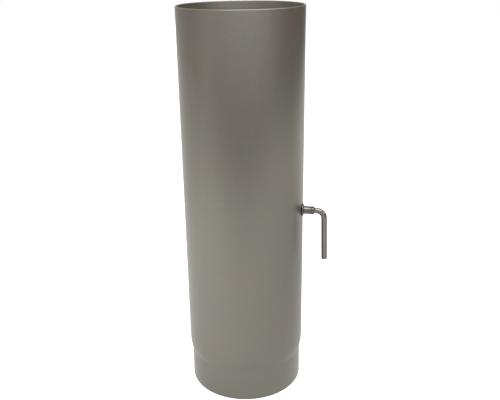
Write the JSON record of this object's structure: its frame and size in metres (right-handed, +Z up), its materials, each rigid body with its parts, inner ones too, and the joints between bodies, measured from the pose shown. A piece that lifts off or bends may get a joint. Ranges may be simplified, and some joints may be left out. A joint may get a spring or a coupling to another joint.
{
  "type": "stove pipe damper",
  "caption": "Straight steel stove pipe with a drawn-in spigot and a butterfly disc inside, turned by a bent bar handle at mid-height to throttle the draught.",
  "frame": {"origin": "pipe axis at the spigot's open end", "axes": "+Z up the pipe from spigot to socket, +X along the damper bar towards the handle"},
  "size_m": [0.1889, 0.154, 0.5],
  "materials": {
    "pipe_paint": "satin heat-resistant grey stove paint",
    "handle_paint": "satin heat-resistant grey stove paint",
    "plate_steel": "matt heat-resistant grey stove paint",
    "plain_steel": "plain zinc-plated steel",
    "seal_packing": "matt black fibre packing"
  },
  "bodies": {
    "pipe": {"pipe_body": "pipe_paint", "seal_ring": "seal_packing", "wall_washer": "handle_paint", "inner_washer": "plain_steel"},
    "damper": {"handle_shaft": "handle_paint", "spacer_sleeve": "handle_paint", "split_pin": "plain_steel", "damper_plate": "plate_steel", "plate_screws": "plain_steel", "plate_lock_washers": "plain_steel", "plate_nuts": "plain_steel"}
  },
  "joints": [
    {"name": "damper_turn", "type": "hinge", "parent": "pipe", "child": "damper", "pos_m": [0, 0, 0.2475], "axis": [1, 0, 0], "continuous": true}
  ]
}
